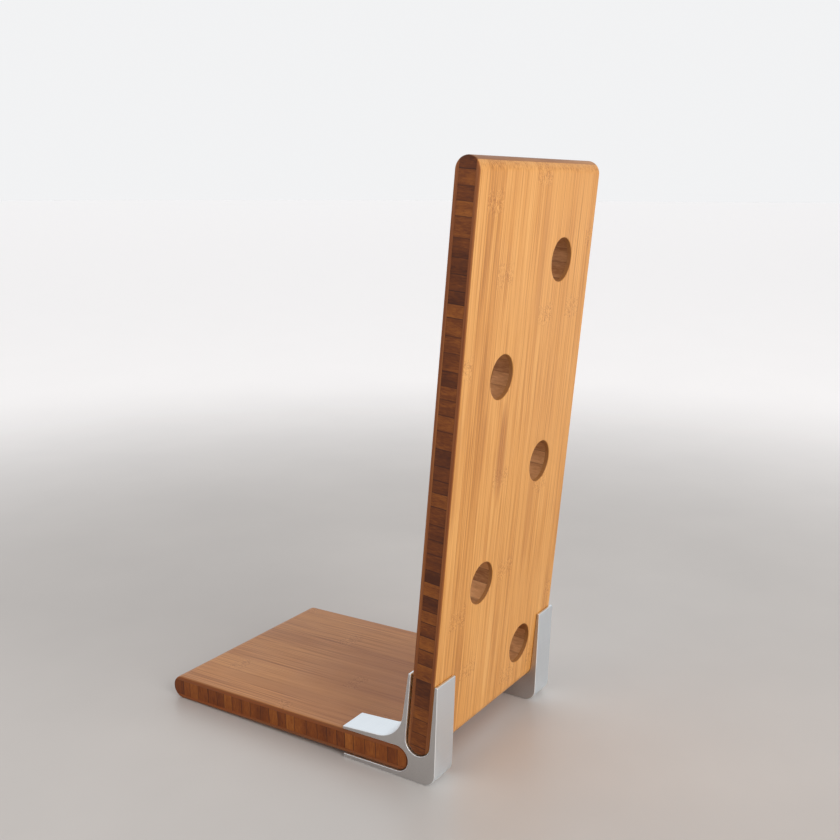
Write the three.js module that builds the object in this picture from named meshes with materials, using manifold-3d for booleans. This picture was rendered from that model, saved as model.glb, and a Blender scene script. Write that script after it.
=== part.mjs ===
// Free-standing wine rack: a leaning bamboo board with a zigzag of bottle-neck holes, joined to a
// bamboo base board by two slotted aluminium brackets.
//
// Millimetres. +X is the width, -Y the front (the side the bottle necks come out of), +Z up. The
// origin is the middle of the footprint, on the table.

import * as THREE from 'three';
import { mergeVertices } from 'three/addons/utils/BufferGeometryUtils.js';
import Module from 'manifold-3d';

// ---------------------------------------------------------------- driving dimensions

// Boards: three-layer bamboo ply, both ends of each board fully rounded.
const BOARD_WIDTH = 177.8;
const BOARD_THICKNESS = 19.05;
const FACE_PLY = 3.2;
const GLUE_LINE = 0.3;
const UPRIGHT_LENGTH = 416;
const BASE_LENGTH = 236;
const LEAN = 5.2; // degrees that the upright leans forward

// Neck holes, in a zigzag of two columns.
const HOLE_DIAMETER = 31.75;
const HOLE_PITCH = 76.2; // from one row to the next, along the upright
const FIRST_HOLE = 41.5; // centre of the lowest hole, from the upright's lower end
const LEAST_WOOD_ABOVE = 60; // from the top hole's centre to the upright's upper end
const HOLE_TO_SIDE = 51.9; // centre of each column, from the nearer side of the board
const ZIGZAG_SHIFT = 2.2; // how far both columns are moved towards +X

// Brackets: lengths of one extrusion with a slot for each board.
const BRACKET_WIDTH = 24.5;
const BRACKET_PROUD = 1; // how far its outer end stands past the side of the boards
const BOARD_SPACING = 6; // between the round ends of the two boards
const SPACING_DIRECTION = 42.4; // degrees above level, from the base's end to the upright's end
const UPRIGHT_PLAY = { show: 0.4, hidden: 1.0 }; // in front of and behind the upright, in its slot
const BASE_PLAY = { show: 0.4, hidden: 0.4 }; // over and under the base, in its slot
const END_PLAY = 0.4; // past the round end of each board
// Lips taper from the root, at the middle of the board's round end, to the tip. Each one's reach is
// measured from the end of the board.
const FRONT_LIP = { root: 4.9, tip: 2.2, reach: 57.5 };
const BACK_LIP = { root: 4.9, tip: 2.0, reach: 60.3 };
const TOP_LIP = { root: 4.9, tip: 2.3, reach: 57.5 };
const SOLE = { root: 4.2, reach: 57.5 }; // its tip is as thin as the base's slope makes it
const HEEL_RADIUS = 10; // outer corner between the sole and the front face
const CORNER_FILLET = 24; // inner corner between the top lip and the back lip

// Countersunk wood screws, through the sole into the base and through the back lip into the upright.
const SCREW_SHANK = 3.2;
const SCREW_HEAD = 6.6;
const SCREW_RIM = 0.3; // straight edge of the head
const SCREW_POINT = 4;
const SCREW_RECESS = 0.2; // below the face of the lip
const SCREW_GAP = 0.3; // round the screw
const SCREW_MOUTH = 2; // how far its bore runs on outwards from the head
const SCREW_SPACING = 16;
const SCREW_FROM_TIP = 12; // from the lip's tip to the nearer screw
const WOOD_PAST_SCREW = 5.5; // from the screw's point to the far face of the board

// Fineness of the faceted curves.
const HOLE_SEGMENTS = 40;
const SCREW_SEGMENTS = 16;
const ARC_STEP = THREE.MathUtils.degToRad(9);

// ---------------------------------------------------------------- places worked out from them

const HALF_BOARD = BOARD_THICKNESS / 2;
const CORE_HALF = HALF_BOARD - FACE_PLY - GLUE_LINE;

// The sole lifts the base's front end, and the far end rests on the table.
const baseEndHeight = SOLE.root + BASE_PLAY.hidden + HALF_BOARD;
const baseSlope = Math.asin((baseEndHeight - HALF_BOARD) / (BASE_LENGTH - BOARD_THICKNESS));
const lean = THREE.MathUtils.degToRad(LEAN);
const spacingDirection = THREE.MathUtils.degToRad(SPACING_DIRECTION);

// Centres of the rounded ends that sit in the bracket, in the (y, z) plane.
const baseEnd = new THREE.Vector2(0, baseEndHeight);
const uprightEnd = new THREE.Vector2(-Math.cos(spacingDirection), Math.sin(spacingDirection))
  .multiplyScalar(BOARD_THICKNESS + BOARD_SPACING)
  .add(baseEnd);

// A board lies along its own +Z from the end in the bracket, and its show face looks along its own
// -Y: the front of the upright, the top of the base. `turn` is its angle about X, and `play` is the
// room that its slot leaves on either side of it.
class BoardPlace {
  constructor(end, turn, play) {
    this.turn = turn;
    this.play = play;
    this.along = new THREE.Vector2(-Math.sin(turn), Math.cos(turn));
    this.outward = new THREE.Vector2(-Math.cos(turn), -Math.sin(turn));
    this.tip = end.clone().addScaledVector(this.along, -HALF_BOARD);
  }

  // The (y, z) point at `distance` from the board's tip and `offset` towards its show face.
  at(distance, offset) {
    return this.tip.clone().addScaledVector(this.along, distance).addScaledVector(this.outward, offset);
  }

  // Where the wall of its slot on one side is, and the outer face of the lip beyond it, as offsets
  // from the middle of the board. `side` is 'show' or 'hidden'.
  wall(side) {
    const sign = side === 'show' ? 1 : -1;
    return sign * (HALF_BOARD + this.play[side]);
  }

  face(side, lip, distance) {
    const thickness = THREE.MathUtils.mapLinear(distance, HALF_BOARD, lip.reach, lip.root, lip.tip);
    return this.wall(side) + Math.sign(this.wall(side)) * thickness;
  }

  group() {
    const group = new THREE.Group();
    group.position.set(0, this.tip.x, this.tip.y);
    group.rotation.x = this.turn;
    group.updateMatrix();
    return group;
  }
}

const upright = new BoardPlace(uprightEnd, lean, UPRIGHT_PLAY);
const base = new BoardPlace(baseEnd, -Math.PI / 2 - baseSlope, BASE_PLAY);

// Middle of the footprint: the upright's top reaches furthest forward, the base furthest back.
const frontReach = upright.at(UPRIGHT_LENGTH - HALF_BOARD, 0).x - HALF_BOARD;
const backReach = base.at(BASE_LENGTH - HALF_BOARD, 0).x + HALF_BOARD;
const footprintMiddle = (frontReach + backReach) / 2;

// ---------------------------------------------------------------- solids

const wasm = await Module();
wasm.setup();

function toSolid(geometry) {
  const bare = geometry.index ? geometry.toNonIndexed() : geometry.clone();
  bare.deleteAttribute('normal');
  bare.deleteAttribute('uv');
  const merged = mergeVertices(bare, 1e-4);
  return new wasm.Manifold(new wasm.Mesh({
    numProp: 3,
    vertProperties: new Float32Array(merged.attributes.position.array),
    triVerts: new Uint32Array(merged.index.array),
  }));
}

function toGeometry(solid) {
  const { vertProperties, triVerts } = solid.getMesh();
  const geometry = new THREE.BufferGeometry();
  geometry.setAttribute('position', new THREE.BufferAttribute(vertProperties, 3));
  geometry.setIndex(new THREE.BufferAttribute(triVerts, 1));
  geometry.computeVertexNormals();
  return geometry;
}

// `geometry` with each of the `cutters` taken out of it.
function cut(geometry, cutters) {
  const solid = cutters.reduce((rest, cutter) => rest.subtract(toSolid(cutter)), toSolid(geometry));
  return toGeometry(solid);
}

// An outline of (y, z) points carried along X from `start` for `width`.
function extrudeAcross(outline, start, width) {
  const geometry = new THREE.ExtrudeGeometry(new THREE.Shape(outline), { depth: width, bevelEnabled: false });
  const toAcross = new THREE.Matrix4().makeBasis(
    new THREE.Vector3(0, 1, 0),
    new THREE.Vector3(0, 0, 1),
    new THREE.Vector3(1, 0, 0),
  );
  return geometry.applyMatrix4(toAcross).translate(start, 0, 0);
}

// Points of an arc about `centre`, both ends included.
function arc(centre, radius, from, to) {
  const steps = Math.max(2, Math.ceil(Math.abs(to - from) / ARC_STEP));
  return Array.from({ length: steps + 1 }, (_, i) => {
    const angle = from + ((to - from) * i) / steps;
    return new THREE.Vector2(Math.cos(angle), Math.sin(angle)).multiplyScalar(radius).add(centre);
  });
}

// Where the line through a and b meets the line through c and d.
function crossing(a, b, c, d) {
  const ab = b.clone().sub(a);
  const cd = d.clone().sub(c);
  const t = c.clone().sub(a).cross(cd) / ab.cross(cd);
  return a.clone().addScaledVector(ab, t);
}

// The arc of `radius` that rounds `corner` on the way from `before` to `after`.
function rounded(before, corner, after, radius) {
  const back = before.clone().sub(corner).normalize();
  const on = after.clone().sub(corner).normalize();
  const half = Math.acos(back.dot(on)) / 2;
  const centre = back.clone().add(on).normalize().multiplyScalar(radius / Math.sin(half)).add(corner);
  const first = corner.clone().addScaledVector(back, radius / Math.tan(half)).sub(centre);
  const last = corner.clone().addScaledVector(on, radius / Math.tan(half)).sub(centre);
  const sweep = Math.atan2(first.cross(last), first.dot(last));
  return arc(centre, radius, first.angle(), first.angle() + sweep);
}

// ---------------------------------------------------------------- screws

const screwX = BOARD_WIDTH / 2 + BRACKET_PROUD - BRACKET_WIDTH / 2;

// How far behind the middle of each board the outer face of the lip that its screws go through is.
const backLipFace = (distance) => -upright.face('hidden', BACK_LIP, distance);
const soleFace = (distance) => base.at(distance, 0).y / Math.cos(baseSlope);

// A screw along +Z from the top of its head, grown by `gap` all round, and its bore by a mouth too.
function screwGeometry(length, gap = 0, mouth = 0) {
  const head = SCREW_HEAD / 2 + gap;
  const shank = SCREW_SHANK / 2 + gap;
  const underRim = SCREW_RIM + gap;
  const profile = [
    [0, -mouth],
    [head, -mouth],
    [head, underRim],
    [shank, underRim + head - shank],
    [shank, length - SCREW_POINT + gap],
    [0, length + gap],
  ].map(([r, z]) => new THREE.Vector2(r, z));
  return new THREE.LatheGeometry(profile, SCREW_SEGMENTS).rotateX(Math.PI / 2).rotateZ(Math.PI / SCREW_SEGMENTS);
}

// The screws of one board, in that board's own frame: they enter from the side behind its show face.
function screwsOf(boardName, lip, lipFace) {
  const furthest = lip.reach - SCREW_FROM_TIP;
  return ['left', 'right'].flatMap((side) => [furthest - SCREW_SPACING, furthest].map((distance, i) => {
    const headAt = lipFace(distance) - SCREW_RECESS;
    const length = headAt + HALF_BOARD - WOOD_PAST_SCREW;
    const place = new THREE.Matrix4()
      .makeTranslation(side === 'left' ? -screwX : screwX, headAt, distance)
      .multiply(new THREE.Matrix4().makeRotationX(Math.PI / 2));
    return {
      name: `${side}_${boardName}_screw_${i + 1}`,
      side,
      length,
      place,
      bore: screwGeometry(length, SCREW_GAP, SCREW_MOUTH).applyMatrix4(place),
    };
  }));
}

const uprightScrews = screwsOf('upright', BACK_LIP, backLipFace);
const baseScrews = screwsOf('base', SOLE, soleFace);

// ---------------------------------------------------------------- boards

// The slice of a round-ended board between two offsets from its middle, through its thickness.
function layerOutline(length, from, to) {
  const fromAngle = Math.asin(from / HALF_BOARD);
  const toAngle = Math.asin(to / HALF_BOARD);
  const farEnd = new THREE.Vector2(0, length - HALF_BOARD);
  const nearEnd = new THREE.Vector2(0, HALF_BOARD);
  return [
    ...arc(farEnd, HALF_BOARD, Math.PI / 2 - fromAngle, Math.PI / 2 - toAngle),
    ...arc(nearEnd, HALF_BOARD, -Math.PI / 2 + toAngle, -Math.PI / 2 + fromAngle),
  ];
}

function layerGeometry(length, from, to, cutters) {
  const outline = layerOutline(length, from, to);
  return cut(extrudeAcross(outline, -BOARD_WIDTH / 2, BOARD_WIDTH), cutters);
}

// Neck holes: the lowest is in the +X column, and the rows change sides on the way up.
const holeRows = 1 + Math.floor((UPRIGHT_LENGTH - FIRST_HOLE - LEAST_WOOD_ABOVE) / HOLE_PITCH);
const holeX = BOARD_WIDTH / 2 - HOLE_TO_SIDE;
const neckHoles = Array.from({ length: holeRows }, (_, row) => (
  new THREE.CylinderGeometry(HOLE_DIAMETER / 2, HOLE_DIAMETER / 2, 2 * BOARD_THICKNESS, HOLE_SEGMENTS)
    .translate(ZIGZAG_SHIFT + (row % 2 ? -holeX : holeX), 0, FIRST_HOLE + row * HOLE_PITCH)
));

// Show face, core and hidden face, as offsets from the middle towards the back of the board.
const LAYERS = {
  show: [-HALF_BOARD, -CORE_HALF - GLUE_LINE],
  core: [-CORE_HALF, CORE_HALF],
  hidden: [CORE_HALF + GLUE_LINE, HALF_BOARD],
};

// ---------------------------------------------------------------- brackets

// Closed (y, z) outline of the extrusion.
function bracketOutline() {
  const faceEnds = (board, side, lip) => (
    [HALF_BOARD, lip.reach].map((distance) => board.at(distance, board.face(side, lip, distance)))
  );
  const [frontRoot, frontTip] = faceEnds(upright, 'show', FRONT_LIP);
  const [backRoot, backTip] = faceEnds(upright, 'hidden', BACK_LIP);
  const [topRoot, topTip] = faceEnds(base, 'show', TOP_LIP);
  const overSoleTip = base.at(SOLE.reach, base.wall('hidden'));
  const soleTip = new THREE.Vector2(overSoleTip.x, 0);
  const soleFront = new THREE.Vector2(frontRoot.x, 0);
  const heel = crossing(frontTip, frontRoot, soleFront, soleTip);
  const innerCorner = crossing(topTip, topRoot, backRoot, backTip);
  const slotEnd = (board) => {
    const radius = (board.wall('show') - board.wall('hidden')) / 2;
    const middle = (board.wall('show') + board.wall('hidden')) / 2;
    const start = board.outward.angle();
    return arc(board.at(radius - END_PLAY, middle), radius, start + Math.PI, start);
  };
  return [
    upright.at(FRONT_LIP.reach, upright.wall('show')),
    frontTip,
    ...rounded(frontTip, heel, soleTip, HEEL_RADIUS),
    soleTip,
    overSoleTip,
    ...slotEnd(base),
    base.at(TOP_LIP.reach, base.wall('show')),
    topTip,
    ...rounded(topTip, innerCorner, backTip, CORNER_FILLET),
    backTip,
    upright.at(BACK_LIP.reach, upright.wall('hidden')),
    ...slotEnd(upright),
  ];
}

function bracketGeometry(side) {
  const outerEnd = BOARD_WIDTH / 2 + BRACKET_PROUD;
  const start = side === 'left' ? -outerEnd : outerEnd - BRACKET_WIDTH;
  const boresOf = (screws, board) => screws
    .filter((screw) => screw.side === side)
    .map((screw) => screw.bore.clone().applyMatrix4(board.group().matrix));
  const bores = [...boresOf(uprightScrews, upright), ...boresOf(baseScrews, base)];
  return cut(extrudeAcross(bracketOutline(), start, BRACKET_WIDTH), bores);
}

// ---------------------------------------------------------------- assembly

function addPiece(group, name, geometry, color, roughness, metalness) {
  const material = new THREE.MeshStandardMaterial({ color, roughness, metalness, flatShading: true });
  const mesh = new THREE.Mesh(geometry, material);
  mesh.name = name;
  group.add(mesh);
  return mesh;
}

const addFace = (group, name, geometry) => addPiece(group, name, geometry, 0xcda06a, 0.5, 0);
const addCore = (group, name, geometry) => addPiece(group, name, geometry, 0x8a5a33, 0.65, 0);
const addMetal = (group, name, geometry) => addPiece(group, name, geometry, 0xb4b7bd, 0.35, 1);

function addScrews(group, screws) {
  for (const screw of screws) {
    const mesh = addPiece(group, screw.name, screwGeometry(screw.length), 0x8d9096, 0.3, 1);
    screw.place.decompose(mesh.position, mesh.quaternion, mesh.scale);
  }
}

const rack = new THREE.Group();
rack.position.y = -footprintMiddle;

const uprightGroup = upright.group();
const uprightBores = uprightScrews.map((screw) => screw.bore);
const uprightLayer = (layer, bores) => layerGeometry(UPRIGHT_LENGTH, ...layer, [...neckHoles, ...bores]);
addFace(uprightGroup, 'upright_front_ply', uprightLayer(LAYERS.show, []));
addCore(uprightGroup, 'upright_core', uprightLayer(LAYERS.core, uprightBores));
addFace(uprightGroup, 'upright_back_ply', uprightLayer(LAYERS.hidden, uprightBores));
addScrews(uprightGroup, uprightScrews);
rack.add(uprightGroup);

const baseGroup = base.group();
const baseBores = baseScrews.map((screw) => screw.bore);
addFace(baseGroup, 'base_top_ply', layerGeometry(BASE_LENGTH, ...LAYERS.show, []));
addCore(baseGroup, 'base_core', layerGeometry(BASE_LENGTH, ...LAYERS.core, baseBores));
addFace(baseGroup, 'base_bottom_ply', layerGeometry(BASE_LENGTH, ...LAYERS.hidden, baseBores));
addScrews(baseGroup, baseScrews);
rack.add(baseGroup);

for (const side of ['left', 'right']) {
  addMetal(rack, `${side}_bracket`, bracketGeometry(side));
}

export default rack;
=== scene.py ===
"""Looks of a wine rack: two round-ended bamboo ply boards held by two slotted aluminium brackets.

Shapes are worked out in millimetres, in the CAD model's frame, and become metres in the mesh.
+X runs across the boards, -Y is the front, +Z is up.
"""

import logging
import math
from collections.abc import Sequence
from dataclasses import dataclass, field
from enum import Enum

import bmesh
import bpy
import numpy as np
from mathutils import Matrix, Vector


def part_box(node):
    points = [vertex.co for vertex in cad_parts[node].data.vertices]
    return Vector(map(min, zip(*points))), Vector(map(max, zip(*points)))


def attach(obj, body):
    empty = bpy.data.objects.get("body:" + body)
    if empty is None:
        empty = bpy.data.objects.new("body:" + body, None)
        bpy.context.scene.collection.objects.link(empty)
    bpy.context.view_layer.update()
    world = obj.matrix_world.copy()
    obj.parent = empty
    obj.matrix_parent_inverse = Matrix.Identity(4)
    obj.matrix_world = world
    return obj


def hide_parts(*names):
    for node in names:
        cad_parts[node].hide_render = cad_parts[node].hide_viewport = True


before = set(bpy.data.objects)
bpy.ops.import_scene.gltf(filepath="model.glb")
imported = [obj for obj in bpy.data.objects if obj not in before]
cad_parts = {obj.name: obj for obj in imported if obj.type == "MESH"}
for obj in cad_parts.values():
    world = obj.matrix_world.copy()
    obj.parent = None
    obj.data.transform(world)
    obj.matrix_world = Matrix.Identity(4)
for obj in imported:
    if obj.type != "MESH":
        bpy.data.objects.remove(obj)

log = logging.getLogger("wine_rack")

MM = 0.001
Socket = bpy.types.NodeSocket
Colour = tuple[float, float, float, float]


# ---------------------------------------------------------------- sizes


class Side(Enum):
    """A bracket's place, as the sign of its X."""

    LEFT = -1
    RIGHT = 1


class Layer(Enum):
    """A layer of a board, from its show face inwards."""

    SHOW = "show"
    CORE = "core"
    HIDDEN = "hidden"


@dataclass(frozen=True)
class Lip:
    """A lip of the bracket, tapering from its root by the board's round end to its tip."""

    root: float
    tip: float
    reach: float


@dataclass(frozen=True)
class RackSizes:
    """Driving sizes of the rack in millimetres and degrees, as in the CAD model."""

    board_width: float = 177.8
    thickness: float = 19.05
    core_half: float = 6.12
    glue_line: float = 0.11
    upright_length: float = 416.0
    base_length: float = 236.0
    lean: float = 5.2
    hole_radius: float = 15.875
    hole_pitch: float = 76.2
    first_hole: float = 41.5
    hole_rows: int = 5
    hole_to_side: float = 51.9
    zigzag_shift: float = 2.2
    bracket_width: float = 24.5
    bracket_proud: float = 1.0
    board_spacing: float = 6.0
    spacing_direction: float = 42.4
    upright_play: tuple[float, float] = (0.4, 1.0)
    base_play: tuple[float, float] = (0.4, 0.4)
    end_play: float = 0.4
    front_lip: Lip = Lip(4.9, 2.2, 57.5)
    back_lip: Lip = Lip(4.9, 2.0, 60.3)
    top_lip: Lip = Lip(4.9, 2.3, 57.5)
    sole: Lip = Lip(4.2, 0.0, 57.5)
    heel_radius: float = 10.0
    corner_fillet: float = 24.0
    screw_shank: float = 1.6
    screw_head: float = 3.3
    screw_rim: float = 0.3
    screw_point: float = 4.0
    screw_recess: float = 0.2
    screw_gap: float = 0.3
    screw_mouth: float = 2.0
    screw_spacing: float = 16.0
    screw_from_tip: float = 12.0
    wood_past_screw: float = 5.5

    @property
    def half(self) -> float:
        """Half of a board's thickness, which is also the radius of its round ends."""
        return self.thickness / 2

    @property
    def outer_end(self) -> float:
        """How far from the middle of the rack the outer end of each bracket is."""
        return self.board_width / 2 + self.bracket_proud

    @property
    def screw_x(self) -> float:
        """How far from the middle of the rack the screws are: the middle of a bracket."""
        return self.outer_end - self.bracket_width / 2


@dataclass(frozen=True)
class BoardPlace:
    """Where a board lies, seen from the side.

    The board's own frame starts at its tip in the bracket: `along` runs up the board, and `outwards`
    from the middle of its thickness towards its show face.
    """

    end: tuple[float, float]
    turn: float
    length: float
    sizes: RackSizes
    play: tuple[float, float]
    shift: float = 0.0

    @property
    def along(self) -> np.ndarray:
        """Unit (y, z) direction along the board."""
        return np.array([-math.sin(self.turn), math.cos(self.turn)])

    @property
    def outwards(self) -> np.ndarray:
        """Unit (y, z) direction out of the show face."""
        return np.array([-math.cos(self.turn), -math.sin(self.turn)])

    @property
    def tip(self) -> np.ndarray:
        """The (y, z) point of the board's tip in the bracket, before the shift to the footprint's middle."""
        return np.array(self.end) - self.along * self.sizes.half

    def at(self, distance: float, offset: float) -> np.ndarray:
        """The (y, z) point `distance` from the tip and `offset` towards the show face."""
        return self.tip + self.along * distance + self.outwards * offset

    def wall(self, show: bool) -> float:
        """Offset of the slot's wall on one side of the board.

        Args:
            show: True for the show face's side, False for the hidden one.

        Returns:
            The offset from the middle of the board, positive on the show face's side.
        """
        return self.sizes.half + self.play[0] if show else -(self.sizes.half + self.play[1])

    def face(self, show: bool, lip: Lip, distance: float) -> float:
        """Offset of a lip's outer face at a distance from the tip: the lip tapers evenly to its tip.

        Args:
            show: True for the lip over the show face.
            lip: the lip's sizes.
            distance: how far along the board.

        Returns:
            The offset from the middle of the board.
        """
        share = (distance - self.sizes.half) / (lip.reach - self.sizes.half)
        wall = self.wall(show)
        return wall + math.copysign(lip.root + (lip.tip - lip.root) * share, wall)

    def to_rack(self, across: np.ndarray, outwards: np.ndarray, along: np.ndarray) -> np.ndarray:
        """Points of the rack from the board's own frame: x is kept, and (y, z) is the tip plus each
        distance times its direction.

        Args:
            across: distances across the board.
            outwards: distances from the middle towards the show face.
            along: distances from the tip.

        Returns:
            An array of points with one more axis, in millimetres.
        """
        x, out, up = np.broadcast_arrays(across, outwards, along)
        y = self.tip[0] + self.shift + up * self.along[0] + out * self.outwards[0]
        z = self.tip[1] + up * self.along[1] + out * self.outwards[1]
        return np.stack([x, y, z], axis=-1)


class RackPlan:
    """Places of the two boards and the screws, worked out from the sizes."""

    def __init__(self, sizes: RackSizes) -> None:
        """Lays out the boards.

        Args:
            sizes: the driving sizes.
        """
        self.sizes = sizes
        s = sizes
        end_height = s.sole.root + s.base_play[1] + s.half
        slope = math.asin((end_height - s.half) / (s.base_length - s.thickness))
        spread = math.radians(s.spacing_direction)
        gap = s.thickness + s.board_spacing
        upright_end = (-math.cos(spread) * gap, end_height + math.sin(spread) * gap)
        upright = (upright_end, math.radians(s.lean), s.upright_length, s, s.upright_play)
        base = ((0.0, end_height), -math.pi / 2 - slope, s.base_length, s, s.base_play)
        front = BoardPlace(*upright).at(s.upright_length - s.half, 0)[0] - s.half
        back = BoardPlace(*base).at(s.base_length - s.half, 0)[0] + s.half
        self.shift = -(front + back) / 2
        self.upright = BoardPlace(*upright, self.shift)
        self.base = BoardPlace(*base, self.shift)
        self.base_slope = slope

    def screw_rows(self, lip: Lip) -> tuple[float, float]:
        """Distances along a board of the two screws in a lip, the nearer to the tip of the board first."""
        furthest = lip.reach - self.sizes.screw_from_tip
        return (furthest - self.sizes.screw_spacing, furthest)

    def sole_face(self, distance: float) -> float:
        """How far behind the middle of the base the sole's underside is: the height over its cosine."""
        return float(self.base.at(distance, 0)[1]) / math.cos(self.base_slope)

    def back_lip_face(self, distance: float) -> float:
        """How far behind the middle of the upright the back lip's outer face is."""
        return -self.upright.face(False, self.sizes.back_lip, distance)


# ---------------------------------------------------------------- meshes


class Surface:
    """Gathers points and faces as whole arrays, and makes one closed mesh of them."""

    def __init__(self) -> None:
        """Starts with nothing."""
        self.points: list[np.ndarray] = []
        self.faces: list[list[int]] = []
        self.count = 0

    def add(self, points: np.ndarray) -> np.ndarray:
        """Adds points.

        Args:
            points: array of points in millimetres, whose last axis is (x, y, z).

        Returns:
            Their numbers, in the same arrangement.
        """
        flat = points.reshape(-1, 3)
        numbers = np.arange(self.count, self.count + len(flat)).reshape(points.shape[:-1])
        self.points.append(flat)
        self.count += len(flat)
        return numbers

    def grid(self, numbers: np.ndarray, keep: np.ndarray | None = None) -> None:
        """Adds the four-sided faces between neighbouring rows and columns of a grid.

        Args:
            numbers: two-dimensional array of point numbers.
            keep: which of the faces to add, or None for all.
        """
        quads = np.stack([numbers[:-1, :-1], numbers[1:, :-1], numbers[1:, 1:], numbers[:-1, 1:]], axis=-1)
        self.faces += (quads.reshape(-1, 4) if keep is None else quads[keep]).tolist()

    def rings(self, numbers: np.ndarray) -> None:
        """Adds the faces between closed rings: the rows of a grid whose last column meets its first."""
        self.grid(np.concatenate([numbers, numbers[:, :1]], axis=1))

    def cap(self, ring: np.ndarray) -> None:
        """Adds one flat face over a ring."""
        self.faces.append(ring.tolist())

    def make(self, name: str, crease: float = 32.0) -> bpy.types.Object:
        """Makes the mesh: doubles are merged, then its faces are turned outwards and shaded smooth up to
        the crease angle.

        Args:
            name: the object's name.
            crease: degrees between two faces past which their edge is sharp.

        Returns:
            The new object, at the origin.
        """
        mesh = bpy.data.meshes.new(name)
        mesh.from_pydata(np.concatenate(self.points) * MM, [], self.faces)
        work = bmesh.new()
        work.from_mesh(mesh)
        bmesh.ops.remove_doubles(work, verts=work.verts, dist=2e-7)
        bmesh.ops.recalc_face_normals(work, faces=work.faces)
        work.to_mesh(mesh)
        work.free()
        return link(name, mesh, crease)


def link(name: str, mesh: bpy.types.Mesh, crease: float) -> bpy.types.Object:
    """Puts a mesh into the scene as an object shaded smooth up to the crease angle.

    Args:
        name: the object's name.
        mesh: its mesh.
        crease: degrees between two faces past which their edge is sharp.

    Returns:
        The object.
    """
    mesh.shade_smooth()
    mesh.set_sharp_from_angle(angle=math.radians(crease))
    obj = bpy.data.objects.new(name, mesh)
    bpy.context.scene.collection.objects.link(obj)
    return obj


def lines_between(stops: Sequence[float], step: float) -> np.ndarray:
    """Positions through every stop, with even ones between them no further apart than the step.

    Args:
        stops: positions that have to be there, in any order.
        step: the most between two positions.

    Returns:
        The positions, rising.
    """
    ends = np.unique(np.round(np.asarray(stops, float), 5))
    runs = [
        np.linspace(a, b, max(1, math.ceil((b - a) / step - 1e-6)), endpoint=False)
        for a, b in zip(ends[:-1], ends[1:])
    ]
    return np.concatenate([*runs, ends[-1:]])


def quarter(steps: int) -> np.ndarray:
    """Angles from 0 to a quarter turn, in even steps."""
    return np.linspace(0.0, math.pi / 2, steps + 1)


def arc(centre: np.ndarray, radius: float, start: float, stop: float, step: float = 3.0) -> np.ndarray:
    """Points of an arc: the centre plus the radius times (cos, sin) of even angles, both ends included.

    Args:
        centre: the (y, z) centre.
        radius: its radius.
        start: the first angle in radians.
        stop: the last angle in radians.
        step: the most degrees from one point to the next.

    Returns:
        The points, one row each.
    """
    count = max(3, math.ceil(abs(math.degrees(stop - start)) / step)) + 1
    angles = np.linspace(start, stop, count)
    return np.asarray(centre) + radius * np.stack([np.cos(angles), np.sin(angles)], axis=-1)


def rounded(before: np.ndarray, corner: np.ndarray, after: np.ndarray, radius: float) -> np.ndarray:
    """The arc that rounds a corner: it touches both of the corner's straight sides.

    Args:
        before: the point before the corner.
        corner: the corner.
        after: the point after it.
        radius: the arc's radius.

    Returns:
        The arc's points.
    """
    back = (before - corner) / np.linalg.norm(before - corner)
    on = (after - corner) / np.linalg.norm(after - corner)
    half = math.acos(float(back @ on)) / 2
    middle = (back + on) / np.linalg.norm(back + on)
    centre = corner + middle * radius / math.sin(half)
    first = corner + back * radius / math.tan(half) - centre
    last = corner + on * radius / math.tan(half) - centre
    sweep = math.atan2(first[0] * last[1] - first[1] * last[0], float(first @ last))
    start = math.atan2(first[1], first[0])
    return arc(centre, radius, start, start + sweep, 3.0 if radius > 3 else 15.0)


def crossing(a: np.ndarray, b: np.ndarray, c: np.ndarray, d: np.ndarray) -> np.ndarray:
    """The point where the line through a and b meets the line through c and d."""
    share = np.linalg.solve(np.stack([b - a, c - d], axis=1), c - a)[0]
    return a + (b - a) * share


def with_supports(loop: np.ndarray, least: float = 2.5, inset: float = 0.5) -> np.ndarray:
    """A closed outline with two more points near the ends of each long straight edge, so that the
    shading of a flat face stays flat.

    Args:
        loop: the outline's points.
        least: length past which an edge counts as long.
        inset: distance of the new points from the edge's ends.

    Returns:
        The outline with the new points in their places.
    """
    on = np.roll(loop, -1, axis=0) - loop
    length = np.linalg.norm(on, axis=1)
    is_long = length > least
    share = (inset / np.maximum(length, 1e-9))[:, None]
    trio = np.stack([loop, loop + on * share, loop + on * (1 - share)], axis=1)
    return trio[np.stack([np.ones_like(is_long), is_long, is_long], axis=1)]


def inset_loop(loop: np.ndarray, distance: float) -> np.ndarray:
    """A closed outline moved inwards: each point moves along the mean of its two edges' inward normals,
    lengthened so that both edges move by the whole distance.

    Args:
        loop: the outline's points.
        distance: how far inwards.

    Returns:
        The moved points.
    """
    on = np.roll(loop, -1, axis=0) - loop
    on /= np.linalg.norm(on, axis=1)[:, None]
    area = np.sum(loop[:, 0] * np.roll(loop[:, 1], -1) - loop[:, 1] * np.roll(loop[:, 0], -1))
    after = np.stack([-on[:, 1], on[:, 0]], axis=1) * math.copysign(1.0, area)
    before = np.roll(after, 1, axis=0)
    spread = 1 + np.sum(after * before, axis=1, keepdims=True)
    return loop + (after + before) / spread * distance


# ---------------------------------------------------------------- shader tools


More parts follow.
